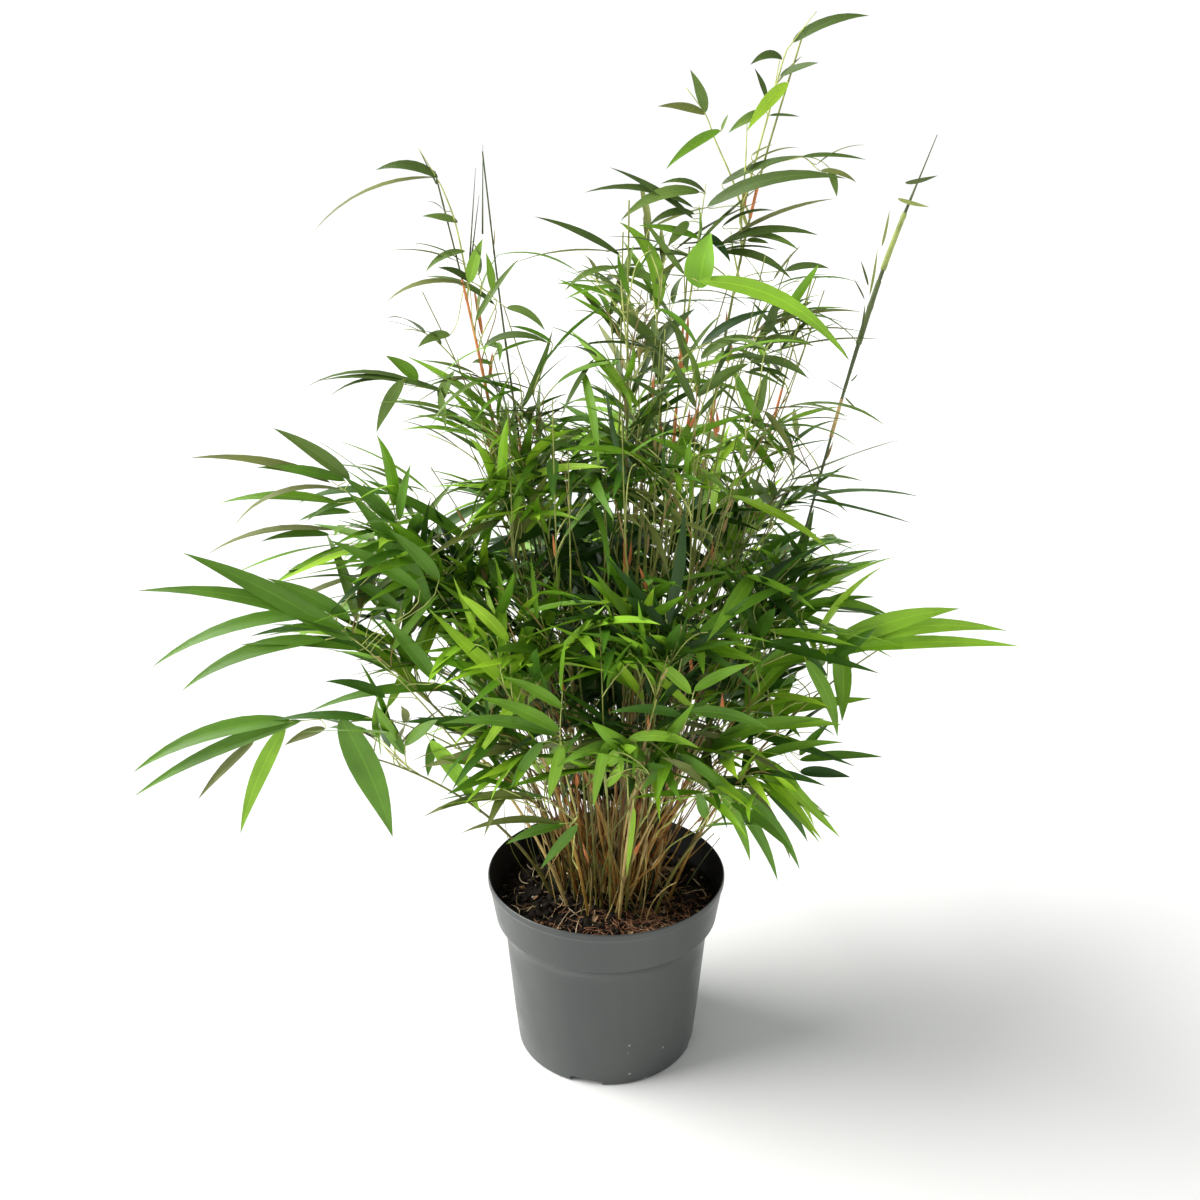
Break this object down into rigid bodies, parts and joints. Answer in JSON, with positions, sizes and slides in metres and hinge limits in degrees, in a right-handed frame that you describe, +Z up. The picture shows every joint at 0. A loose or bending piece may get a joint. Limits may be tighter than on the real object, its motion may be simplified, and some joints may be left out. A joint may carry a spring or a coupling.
{
  "type": "potted bamboo",
  "caption": "Clump-forming bamboo with slender arching culms and open sprays of narrow leaves, in a round plastic nursery pot.",
  "frame": {"origin": "centre of the pot's flat underside, on the surface that it stands on", "axes": "+Z up along the pot's axis, -Y the front, +X to the right"},
  "size_m": [0.6522, 0.4074, 0.7806],
  "materials": {
    "pot_plastic": "satin grey moulded plastic",
    "soil": "dark moist bark compost",
    "culm": "smooth olive bamboo cane",
    "shoot": "smooth green side shoot",
    "foliage": "satin green leaves"
  },
  "bodies": {
    "root": {"belt_back": "foliage", "belt_back_right": "foliage", "belt_front": "foliage", "belt_front_left": "foliage", "belt_left": "foliage", "belt_right": "foliage", "crest_left": "foliage", "crest_right": "foliage", "crest_top": "foliage", "crest_top_left": "foliage", "culm_back": "culm", "culm_back_left": "culm", "culm_back_right": "culm", "culm_back_tall": "culm", "culm_bare_right": "culm", "culm_centre": "culm", "culm_centre_right": "culm", "culm_front": "culm", "culm_front_left": "culm", "culm_left_high": "culm", "culm_left_inner": "culm", "culm_left_low": "culm", "culm_left_middle": "culm", "culm_left_tall": "culm", "culm_right_low": "culm", "culm_right_middle": "culm", "culm_right_upper": "culm", "culm_top": "culm", "pot": "pot_plastic", "shoot_left_crest": "shoot", "shoot_top_left": "shoot", "shoulder_back": "foliage", "shoulder_front": "foliage", "shoulder_left": "foliage", "shoulder_right": "foliage", "skirt_back": "foliage", "skirt_back_left": "foliage", "skirt_back_right": "foliage", "skirt_front": "foliage", "skirt_front_left": "foliage", "skirt_front_right": "foliage", "skirt_left": "foliage", "skirt_right": "foliage", "soil": "soil", "spray_back": "foliage", "spray_back_left": "foliage", "spray_back_right": "foliage", "spray_left_high": "foliage", "spray_left_low": "foliage", "spray_left_middle": "foliage", "spray_left_top": "foliage", "spray_right": "foliage", "spray_right_low": "foliage", "upper_back": "foliage", "upper_centre": "foliage", "upper_front": "foliage", "upper_left": "foliage", "upper_right": "foliage"}
  },
  "joints": []
}
